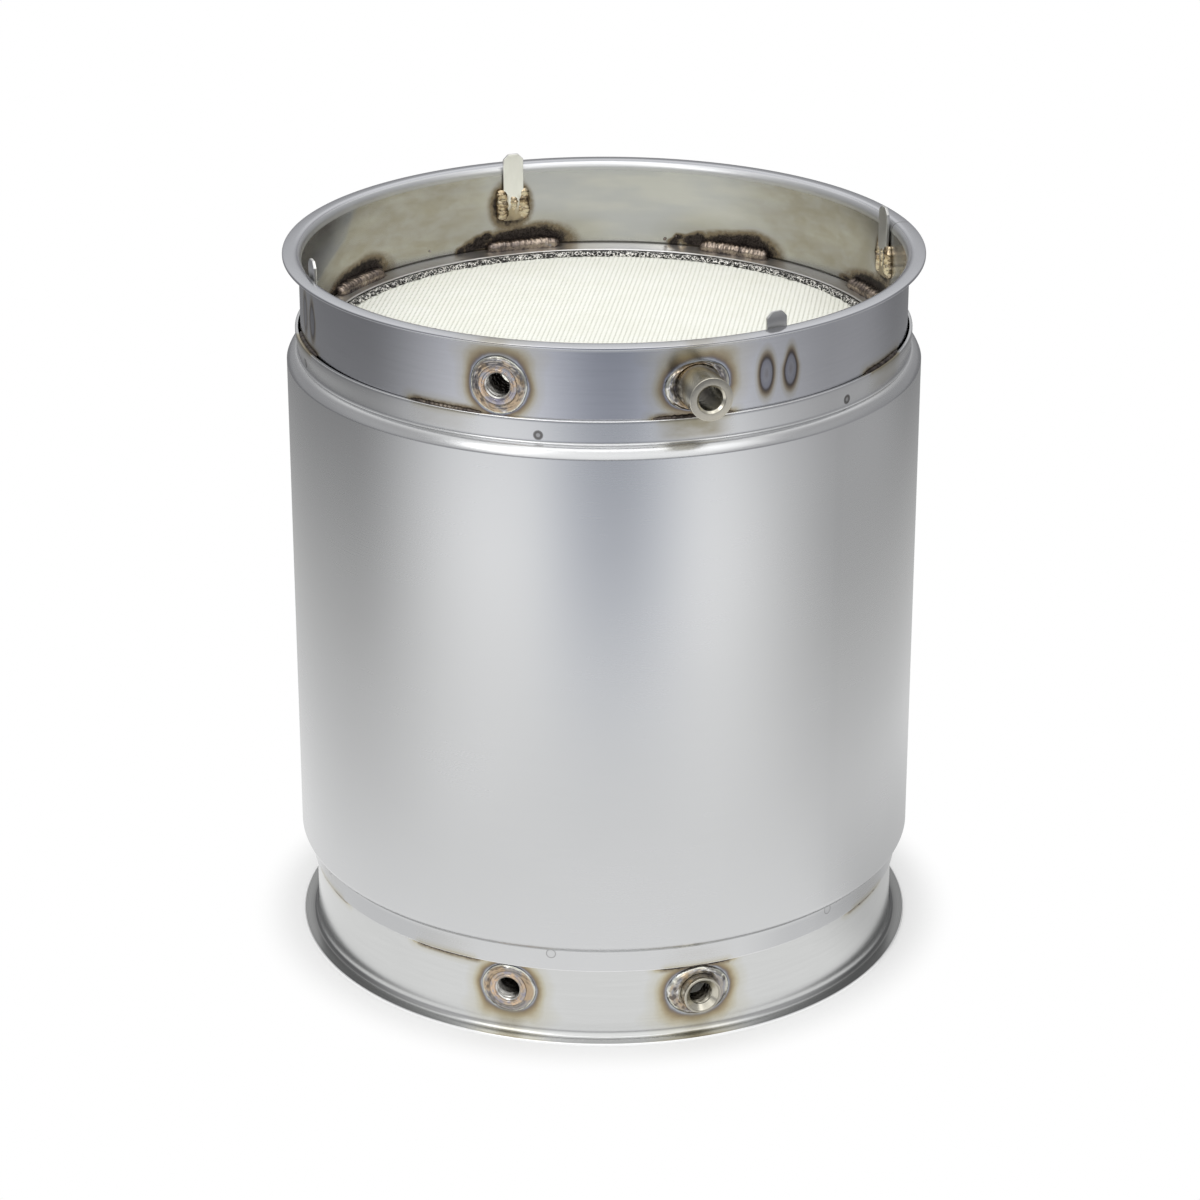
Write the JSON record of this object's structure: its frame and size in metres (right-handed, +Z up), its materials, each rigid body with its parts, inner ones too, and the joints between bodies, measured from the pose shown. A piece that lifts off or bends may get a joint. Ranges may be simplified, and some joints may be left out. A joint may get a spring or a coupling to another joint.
{
  "type": "diesel particulate filter",
  "caption": "Round stainless diesel particulate filter section with flared clamp rims, insulated shield, honeycomb ceramic core and threaded sensor bosses.",
  "frame": {"origin": "on the canister's axis, halfway between the two rims", "axes": "+Z up along the axis to the rim that has the locating tabs, -Y towards the side that carries the threaded bosses, +X to the right of that side"},
  "size_m": [0.3364, 0.3475, 0.3909],
  "materials": {
    "shield_steel": "satin rolled stainless",
    "ring_steel": "satin rolled stainless with heat tint at the welds",
    "can_steel": "satin rolled stainless",
    "retainer_steel": "satin with a straw tint",
    "tab_steel": "matt",
    "boss_steel": "turned",
    "weld_metal": "rippled, heat tinted",
    "cordierite": "matt honeycomb",
    "ceramic_fibre": "matt fibre",
    "knitted_wire": "knitted wire"
  },
  "bodies": {
    "root": {"outer_shield": "shield_steel", "insulation_blanket": "ceramic_fibre", "filter_can": "can_steel", "support_mat": "ceramic_fibre", "ceramic_filter": "cordierite", "upper_end_ring": "ring_steel", "lower_end_ring": "ring_steel", "upper_retaining_ring": "retainer_steel", "lower_retaining_ring": "retainer_steel", "upper_mesh_seal": "knitted_wire", "lower_mesh_seal": "knitted_wire", "upper_temperature_boss": "boss_steel", "upper_pressure_boss": "boss_steel", "lower_temperature_boss": "boss_steel", "lower_pressure_boss": "boss_steel", "upper_temperature_boss_weld": "weld_metal", "upper_pressure_boss_weld": "weld_metal", "lower_temperature_boss_weld": "weld_metal", "lower_pressure_boss_weld": "weld_metal", "locating_tab_front": "tab_steel", "locating_tab_right": "tab_steel", "locating_tab_back": "tab_steel", "locating_tab_left": "tab_steel"}
  },
  "joints": []
}
